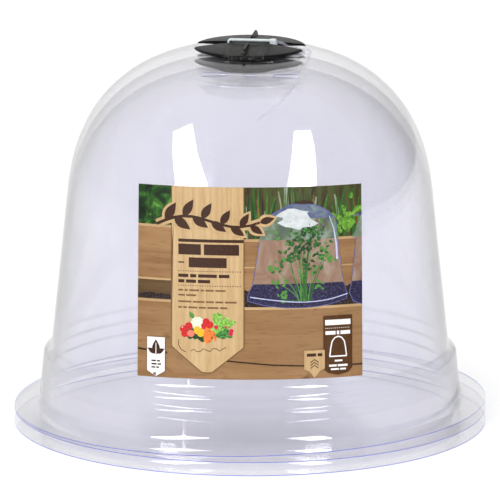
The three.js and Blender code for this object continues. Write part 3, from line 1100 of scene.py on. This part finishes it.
def card_inks():
    """The printed materials by name."""
    inks = {"board": print_flat("card_board", srgb(196, 188, 176), srgb(184, 176, 163), 30)}
    for name, (first, second, scale) in FLAT_INKS.items():
        inks[name] = print_flat(f"print_{name}", srgb(*first), srgb(*second), scale)
    for name, (pale, mid, dark, stretch, knots) in WOOD_INKS.items():
        inks[name] = print_wood(f"print_{name}", srgb(*pale), srgb(*mid), srgb(*dark), stretch, knots)
    for name, (colours, scale, stretch) in LEAFY_INKS.items():
        shades = [srgb(*colour) for colour in colours]
        inks[name] = print_foliage(f"print_{name}", shades, scale, stretch)
    return inks


def print_background(inks):
    """Hedge and bed out of focus behind the two timber frames."""
    half = CARD_WIDTH / 2
    edge = TAG[1]
    shapes = [
        (rectangle(-half, 76, TAG[0] + 2, CARD_HEIGHT), inks["hedge"]),
        (rectangle(edge - 2, 70, half, CARD_HEIGHT), inks["bed"]),
        (rectangle(-half, 51, edge, 79.5), inks["back_plank"]),
        (rectangle(edge - 2, 42, half, 73), inks["back_plank"]),
        (rectangle(-half, 38, edge, 51.5), inks["inner_plank"]),
        (rectangle(-half, 12, half, 41), inks["plank"]),
        (rectangle(-half, 0, half, 12.4), inks["plank"]),
    ]
    print_layer("print_background", 1, shapes)


def print_blades(inks):
    """Upright stems and blades behind the bell, soft and overlapping, and a light bush at the right."""
    draw = random.Random(7)
    shapes = []
    for i in range(46):
        u = draw.uniform(-3, 60)
        lean = draw.uniform(-4, 4)
        top = draw.uniform(88, 104)
        bottom = draw.uniform(72, 80)
        points = [(u + lean * t * t, bottom + (top - bottom) * t) for t in (0, 0.25, 0.5, 0.75, 1)]
        width = draw.uniform(0.8, 2.6)
        ink = draw.choice(["blade", "blade", "pale_blade", "straw", "dark_leaf", "mid_leaf"])
        shapes.append((ribbon(points, (width, width * 0.3)), inks[ink]))
    shapes.append((ribbon([(18.4, 80), (18.9, 92), (18.6, 102)], (1.8, 2.2)), inks["pale_blade"]))
    print_layer("print_blades", 2, shapes)
    shapes = []
    for i in range(34):
        u = 53.5 + draw.gauss(0, 3.2)
        v = 82 + draw.gauss(0, 4.6)
        size = draw.uniform(3, 5)
        shapes.append((leaf(u, v, size, size * 0.8, draw.uniform(20, 160), 2), inks["bush"]))
    shapes = [(shape, ink) for shape, ink in shapes if min(v for _, v in shape) > 73.5]
    print_layer("print_bush", 3, shapes)


def wavy_band(left, right, bottom, top, wobble, seed, step=2.5):
    """A strip whose upper edge is uneven, as soil or splintered timber is."""
    draw = random.Random(seed)
    count = max(2, int((right - left) / step))
    upper = []
    for i in range(count + 1):
        upper.append((left + (right - left) * i / count, top + draw.uniform(-wobble, wobble)))
    return [(left, bottom), (right, bottom), *reversed(upper)]


def print_timber(inks):
    """Lit edges, dark gaps and soil of the timber frames."""
    half = CARD_WIDTH / 2
    edge = TAG[1] - 1
    left_edge = TAG[0] + 1
    seam = [(-14, 9.6), (12, 7.2), (34, 6.2), (half, 5.8), (half, 6.6), (34, 7), (12, 8), (-14, 10.4)]
    shapes = [
        (rectangle(-half, 78.6, left_edge, 80), inks["plank_edge"]),
        (rectangle(-half, 51, left_edge, 52), inks["plank_edge"]),
        (wavy_band(-half, left_edge, 40.5, 43.6, 0.8, 3, 0.8), inks["soil"]),
        (rectangle(-half, 39.6, left_edge, 41), inks["plank_edge"]),
        (rectangle(edge, 72.2, half, 73.6), inks["plank_edge"]),
        (rectangle(edge, 58.4, half, 59.1), inks["plank_edge"]),
        (wavy_band(edge, half, 37.2, 47.5, 1.4, 4, 0.9), inks["soil"]),
        (rectangle(edge, 36.6, half, 38), inks["plank_edge"]),
        ([(-half, 14), (-44, 12.6), (-44, 13.6), (-half, 15)], inks["gap"]),
        (seam, inks["gap"]),
    ]
    print_layer("print_timber_edges", 3, shapes)
    draw = random.Random(12)
    specks = []
    for i in range(70):
        u, v = draw.uniform(edge, half), draw.uniform(38.5, 46)
        width, tilt = draw.uniform(0.6, 1.6), draw.uniform(-30, 30)
        specks.append((ellipse(u, v, width, 0.7, tilt, 7), inks["soil"]))
    print_layer("print_soil_crumbs", 4, specks)


def curve_through(points, per_span=4):
    """A smooth line through flat points."""
    return [(p.x, p.y) for p in smooth_route([Vector((u, v, 0)) for u, v in points], per_span)]


def shrink(outline, middle, share):
    """The outline drawn in towards a middle point by a share of its size."""
    return [(middle[0] + (u - middle[0]) * share, middle[1] + (v - middle[1]) * share) for u, v in outline]


def shift(outline, right):
    return [(u + right, v) for u, v in outline]


def between(outline, low, high):
    """The outline held between two heights."""
    return [(u, min(max(v, low), high)) for u, v in outline]


def bell_layers(inks, outline, middle):
    """A bell's rim, the timber, leaves and soil seen through it, each (outline, ink)."""
    inner = shrink(outline, middle, 0.984)
    return [
        (outline, inks["bell_rim"]),
        (inner, inks["bell_back"]),
        (between(inner, BELL_LEAVES_FOOT, BELL_REACH[1]), inks["bell_foliage"]),
        (between(inner, BELL_TOP_FOOT, BELL_REACH[1]), inks["bell_top"]),
        (between(inner, BELL_REACH[0], BELL_SOIL_TOP), inks["bell_soil"]),
    ]


def print_bell(inks):
    """The pictured bell over the plant, and the edge of a second one at the right."""
    outline = shift(curve_through(BELL) + curve_through(BELL_FOOT), BELL_SHIFT)
    print_layer("print_bell", 5, bell_layers(inks, outline, (26.2, 62)))
    print_layer("print_second_bell", 5, bell_layers(inks, SECOND_BELL, (80, 62)))
    draw = random.Random(9)
    specks = []
    for i in range(90):
        u, v = draw.uniform(2.5, 50), draw.uniform(38.6, 49)
        size = draw.uniform(0.4, 1.1)
        ink = inks[draw.choice(["soil", "soil", "bell_soil"])]
        specks.append((ellipse(u, v, size, size * 0.6, draw.uniform(-30, 30), 6), ink))
    print_layer("print_bell_crumbs", 6, specks)


def print_plant(inks):
    """The leafy plant under the pictured bell: fanned stems and tufts of small cut leaves."""
    draw = random.Random(21)
    root_u, root_v = PLANT_ROOT
    stems = []
    leaves = []
    for u, v, wide, tall, count in PLANT_TUFTS:
        for i in range(max(1, count // 7)):
            foot = (root_u + 0.22 * (u - root_u) + draw.uniform(-1.6, 1.6), root_v)
            tip = (u + draw.gauss(0, wide * 0.8), v + draw.gauss(0, tall * 0.5))
            points = []
            for t in (0, 0.2, 0.4, 0.6, 0.8, 1):
                points.append((foot[0] + (tip[0] - foot[0]) * t**1.5, foot[1] + (tip[1] - foot[1]) * t))
            stems.append((ribbon(points, (0.55, 0.3)), inks[draw.choice(["light_leaf", "mid_leaf"])]))
        for i in range(count):
            place = (u + draw.gauss(0, wide), v + draw.gauss(0, tall))
            size = draw.uniform(1.8, 3.6)
            from_middle = math.dist(place, PLANT_MIDDLE) + draw.gauss(0, 4)
            shade = "dark_leaf" if from_middle < 6 else "mid_leaf" if from_middle < 13 else "light_leaf"
            outline = leaf(*place, size, size * 0.62, 90 + draw.uniform(-130, 130), 2)
            leaves.append((outline, inks[shade]))
    print_layer("print_stems", 7, stems)
    draw.shuffle(leaves)
    print_layer("print_leaves", 8, leaves)


def print_bell_shine(inks):
    """Highlights and the front of the rim, over the plant."""
    shine = [(12.8, 84.5), (15.1, 86.6), (20.1, 89.3), (23.8, 89.3), (27.5, 88.2), (31.6, 87.6)]
    shine += [(30.4, 86.8), (32.5, 83.5), (36.6, 81.3), (33.9, 79.8), (28.4, 79.3), (26.1, 78)]
    shine += [(22, 79.4), (18.7, 79.8), (14.6, 82), (17.4, 83.3), (17.8, 84.6), (15.1, 85.1)]
    shapes = [(shift(shine, BELL_SHIFT), inks["bell_shine"])]
    rim = curve_through([(0, 43.3), (12.8, 41.5), (26.5, 40.3), (40.3, 41), (52.7, 43.7)])
    shapes.append((ribbon(rim, (0.5, 0.5)), inks["bell_line"]))
    streak = [(46.5, 62), (46, 70), (44.6, 78), (42, 85)]
    shapes.append((ribbon(streak, (1.2, 0.4)), inks["bell_line"]))
    cap = [(22.6, 92), (23.4, 93), (28, 93.6), (32.6, 92.8), (33.6, 91.6), (28, 91.5)]
    shapes.append((cap, inks["gap"]))
    print_layer("print_bell_shine", 9, shapes)


def tag_outline(left, right, top, shoulder, tip, grow=0.0):
    """A hanging tag with a pointed lower end."""
    middle = (left + right) / 2
    point = max(right - left, 1) * 0.07
    return [
        (left - grow, top),
        (left - grow, shoulder),
        (middle - point, tip + 0.3 - grow),
        (middle, tip - grow),
        (middle + point, tip + 0.3 - grow),
        (right + grow, shoulder),
        (right + grow, top),
    ]


def print_tag(inks):
    """The wooden tag with its plain bars where a label would have words."""
    left, right = TAG
    shapes = [
        (tag_outline(left, right, CARD_HEIGHT, 17, 3.6, 0.5), inks["tag_shade"]),
        (tag_outline(left, right, CARD_HEIGHT, 17, 3.6), inks["tag"]),
    ]
    print_layer("print_tag", 10, shapes)
    ink, soft = inks["ink"], inks["soft_ink"]
    words = [(rectangle(TEXT_LEFT, 71.6, right, 73.2), ink)]
    words += word_blocks(TEXT_LEFT, -5.6, 65, 5.6, [4, 6], ink)
    words += word_blocks(-32, -12, 58.4, 5.2, [6], ink)
    words += [(rectangle(TEXT_LEFT, 60.6, -34.6, 61.3), ink)]
    words += dotted_line(TEXT_LEFT, right, 56.2, ink)
    words += dotted_line(TEXT_LEFT, right, 48.6, ink)
    words += word_blocks(TEXT_LEFT, -10.6, 53.2, 1.7, [5, 3, 9, 5], ink, 1)
    words += word_blocks(TEXT_LEFT, -20.6, 50.3, 1.7, [3, 5, 6], ink, 1)
    rows = [(46, -12.6, [3, 2, 6, 2, 5, 6]), (43.4, -28, [4, 6]), (40, -6.8, [7, 6, 4, 4, 6])]
    rows += [(37, -11.6, [2, 2, 5, 4, 6, 4])]
    for v, end, shares in rows:
        words += word_blocks(TEXT_LEFT, end, v, 0.9, shares, soft, 0.8)
    sweep = [(-37.4, 20.5), (-37.6, 17.6), (-36.2, 15.2), (-33.6, 14)]
    words.append((ribbon(sweep, (0.35, 0.35)), ink))
    curl = [(-31 + 1.7 * i, 14.6 + 0.9 * math.sin(1.9 * i) + 0.14 * i) for i in range(12)]
    words.append((ribbon(curl, (0.35, 0.35)), ink))
    print_layer("print_tag_bars", 11, words)


def sprig_shapes(stem, leaves, material, grow):
    """A curved stem with leaves in pairs. grow widens it all, for the halo under it."""
    shapes = [(ribbon(stem, (1.6 + 2 * grow, 1.2 + 2 * grow)), material)]
    for u, v, length, tilt in leaves:
        back = grow * 1.1
        start = leant(u, v, -back, 0, tilt)
        shapes.append((leaf(*start, length + 2 * back, length * 0.46 + 2 * grow, tilt), material))
    return shapes


def print_sprig(inks):
    """A plain sprig of leaves across the top of the tag, dark on a pale wooden halo."""
    stem = [(-50 + 5 * i, 80.4 + 3.6 * math.sin(0.52 * i) + 0.35 * i) for i in range(12)]
    leaves = []
    for i in range(1, 11):
        u, v = stem[i]
        side = 1 if i % 2 else -1
        leaves.append((u, v, 11.5 - 0.35 * i, 12 + side * 46))
    leaves.append((*stem[-1], 8, 16))
    print_layer("print_sprig_halo", 12, sprig_shapes(stem, leaves, inks["tag_halo"], 1.5))
    print_layer("print_sprig", 13, sprig_shapes(stem, leaves, inks["ink"], 0))


def print_vegetables(inks):
    """The small heap of vegetables at the foot of the tag."""
    shapes = [
        (leaf(-29, 21, 14, 8, 12, 3), inks["dark_leaf"]),
        (leaf(-27, 22, 12, 7, 165, 3), inks["dark_leaf"]),
        (ellipse(-28.5, 30, 8, 7.2), inks["turnip"]),
        (leaf(-31, 32.4, 5, 3, 120, 1), inks["light_leaf"]),
    ]
    draw = random.Random(5)
    for i in range(22):
        shapes.append((
            leaf(-15.6 + draw.gauss(0, 2.2), 28 + draw.gauss(0, 2), 4.6, 3.6, draw.uniform(10, 170), 2),
            inks["lettuce"],
        ))
    red, yellow, orange, white = inks["red"], inks["yellow"], inks["orange"], inks["white"]
    for u, v, size in ((-37, 26, 4.8), (-33.8, 28, 4.6), (-36.4, 23.2, 4.2)):
        shapes.append((ellipse(u, v, size, size * 0.94), red))
    shapes.append((ellipse(-32.6, 23.6, 4.6, 4.2), inks["pink"]))
    for u, v, size in ((-28.6, 25.6, 4.4), (-26.6, 24.2, 4.6)):
        shapes.append((ellipse(u, v, size, size * 1.1), yellow))
    for u, v, size in ((-23.4, 30.8, 4.2), (-21.2, 29, 4.4), (-24.4, 28.2, 4)):
        shapes.append((ellipse(u, v, size, size), red))
    for u, v, tilt in ((-23.6, 23.4, 82), (-21.2, 23.2, 96), (-19, 23.6, 108), (-22.6, 21.8, 88)):
        shapes.append((ellipse(u, v, 8.8, 2.4, tilt), orange))
    for u, v, tilt in ((-15.6, 24.8, -12), (-12.4, 26, -20), (-14.6, 22.4, -16), (-10.8, 23.2, -24)):
        shapes.append((ellipse(u, v, 6.6, 2.8, tilt), inks["cucumber"]))
    for u, v in ((-11.6, 28.6), (-8.4, 25.6), (-8.8, 23.8), (-17.4, 27.6)):
        shapes.append((ellipse(u, v, 2.6, 2.4), inks["radish"]))
    for u, v in ((-37.8, 27.2), (-34.4, 29.2), (-24, 31.8), (-29.2, 31.4), (-28.8, 26.8)):
        shapes.append((ellipse(u, v, 0.9, 0.6, 30, 8), white))
    shapes = [(shift(shrink(outline, (-23, 25.6), 0.88), 0.6), ink) for outline, ink in shapes]
    print_layer("print_vegetables", 12, shapes)


def print_small_tags(inks):
    """The white tag, the small wooden tag and the dark panel with a plain bell on it."""
    white, ink, dark = inks["white"], inks["ink"], inks["panel"]
    shapes = [
        (tag_outline(-55.6, -45.3, 21, 3.4, 0.6, 0.35), inks["tag_shade"]),
        (tag_outline(-55.6, -45.3, 21, 3.4, 0.6), white),
        (rectangle(38.7, 5, 55.3, 32.6), dark),
        ([(38.7, 5), (41.3, 2.6), (47, 1.4), (52.8, 2.6), (55.3, 5)], dark),
        ([(28.2, 14.8), (28.2, 5), (30.8, 4), (33.8, 0.4), (36.8, 4), (39.4, 5), (39.4, 14.8)], inks["tag"]),
    ]
    print_layer("print_small_tags", 10, shapes)
    marks = [
        (leaf(-50.4, 11.6, 8.2, 4.6, 90), ink),
        (leaf(-50.2, 12.6, 5.4, 2.6, 28), ink),
        (leaf(-50.6, 12.6, 5.4, 2.6, 152), ink),
        (ribbon([(-50.4, 10.2), (-50.4, 18)], (0.5, 0.4)), white),
    ]
    for k, end in enumerate((-48, -47.4, -48.6)):
        marks += word_blocks(-53, end, 8.2 - 1.7 * k, 0.8, [3, 2], ink, 0.6)
    marks += word_blocks(39.6, 54.2, 27.6, 2.8, [1], white)
    marks += dotted_line(39.8, 54.2, 25.8, white, 1.1, 0.4)
    marks += word_blocks(39.8, 54, 22.6, 1.9, [4, 1, 4], white, 0.7)
    middle, half = 47, 4.4
    side = ((-1.1, 11.2), (-0.95, 16), (-0.8, 19), (-0.45, 20.9), (0, 21.6))
    bell = [(middle + half * x, v) for x, v in side]
    bell += [(2 * middle - u, v) for u, v in reversed(bell[:-1])]
    marks.append((ribbon(bell, (0.7, 0.7)), white))
    marks.append((ribbon([(42, 11.2), (52, 11.2)], (0.7, 0.7)), white))
    marks += word_blocks(45, 49.4, 8.4, 0.9, [1], white)
    marks += word_blocks(41.8, 52.4, 5.8, 1.1, [3, 4], white, 0.6)
    marks += word_blocks(42.8, 51.4, 4, 0.9, [4, 3], white, 0.6)
    marks += word_blocks(29.6, 38, 11.6, 1.6, [4, 2], ink, 0.8)
    for k in range(3):
        foot = 5.4 + 1.5 * k
        marks.append((ribbon([(31.6, foot), (33.8, foot + 1.6), (36, foot)], (0.5, 0.5)), ink))
    print_layer("print_small_marks", 11, marks)


def make_card():
    inks = card_inks()
    make_card_board(inks["board"])
    print_background(inks)
    print_blades(inks)
    print_timber(inks)
    print_bell(inks)
    print_plant(inks)
    print_bell_shine(inks)
    print_tag(inks)
    print_vegetables(inks)
    print_sprig(inks)
    print_small_tags(inks)


# ---- stage ----


def make_camera():
    data = bpy.data.cameras.new("camera")
    data.sensor_width = 36
    data.lens = CAMERA_LENS
    data.clip_start = 0.1
    data.clip_end = 200
    camera = bpy.data.objects.new("camera", data)
    camera.location = CAMERA_PLACE
    aim = Vector(CAMERA_AIM) - camera.location
    camera.rotation_euler = aim.to_track_quat("-Z", "Y").to_euler()
    bpy.context.scene.collection.objects.link(camera)
    bpy.context.scene.camera = camera


def make_panel(name, low, high, across, width, radiance):
    """A softbox from low to high, with its width as near as can be to the direction across."""
    data = bpy.data.lights.new(name, "AREA")
    data.shape = "RECTANGLE"
    data.size = width
    length = (high - low).length
    data.size_y = length
    data.energy = radiance * math.pi * width * length
    panel = bpy.data.objects.new(name, data)
    centre = (low + high) / 2
    up = (high - low).normalized()
    right = (across - up * across.dot(up)).normalized()
    back = right.cross(up)
    panel.matrix_world = Matrix((
        (right.x, up.x, back.x, centre.x),
        (right.y, up.y, back.y, centre.y),
        (right.z, up.z, back.z, centre.z),
        (0, 0, 0, 1),
    ))
    panel.visible_diffuse = False
    bpy.context.scene.collection.objects.link(panel)


def make_world(strengths):
    """White all round, with a strength for each place along +Y: dimmer in front, where black plastic has
    nothing bright to mirror, and in a band beside the cloches, which darkens their curve. The right is
    dimmer than the left."""
    world = bpy.data.worlds.new("studio")
    world.use_nodes = True
    tree = world.node_tree
    direction = add_node(tree, "TexCoord").outputs["Generated"]
    parts = add_node(tree, "SeparateXYZ", {0: direction}).outputs
    stops = [((along + 1) / 2, (strength, strength, strength, 1)) for along, strength in strengths]
    background = tree.nodes["Background"]
    light = ramp_node(tree, spread_node(tree, parts["Y"], -1, 1), stops)
    tree.links.new(light, background.inputs["Color"])
    tree.links.new(spread_node(tree, parts["X"], 0.1, 0.9, 1, 0.3), background.inputs["Strength"])
    bpy.context.scene.world = world


def make_fill(energy, elevation):
    """Even light from the front for the card and the floor, too soft to show in a mirror."""
    data = bpy.data.lights.new("fill", "SUN")
    data.energy = energy
    data.angle = math.radians(70)
    fill = bpy.data.objects.new("fill", data)
    fill.rotation_euler = (math.radians(90 - elevation), 0, 0)
    fill.visible_glossy = False
    bpy.context.scene.collection.objects.link(fill)


def make_floor():
    mesh = bmesh.new()
    bmesh.ops.create_circle(mesh, cap_ends=True, radius=FLOOR_R / MM, segments=96)
    floor = make_piece("floor", mesh, [floor_paper()])


def set_quality():
    scene = bpy.context.scene
    scene.view_settings.view_transform = "Standard"
    scene.cycles.max_bounces = 16
    scene.cycles.transparent_max_bounces = 96
    scene.cycles.glossy_bounces = 8
    scene.cycles.caustics_reflective = True


make_camera()
make_world(WORLD_STRENGTHS)
make_fill(FILL_ENERGY, FILL_ELEVATION)
for name, (low, high, across, width) in SOFTBOXES.items():
    make_panel(name, Vector(low), Vector(high), Vector(across), width, SOFTBOX_RADIANCE)
make_floor()
set_quality()

sheet = clear_sheet("clear_sheet", (0.988, 0.987, 0.997, 1), (0.977, 0.976, 0.990, 1))
# Painted shade: the sheet's bends get a deeper violet tint, so the steps and the flange's fold show as darker
# lines
bend_painted_shade_look = clear_sheet("clear_bend_painted_shade", (0.985, 0.985, 0.997, 1), (0.965, 0.965, 0.99, 1))
edge_look = clear_edge()
black = black_moulding()
for level in LEVELS:
    make_shell(level, [sheet, edge_look, bend_painted_shade_look])
for level in ("middle", "outer"):
    make_vent(level, black)
make_cable_tie()
make_card()
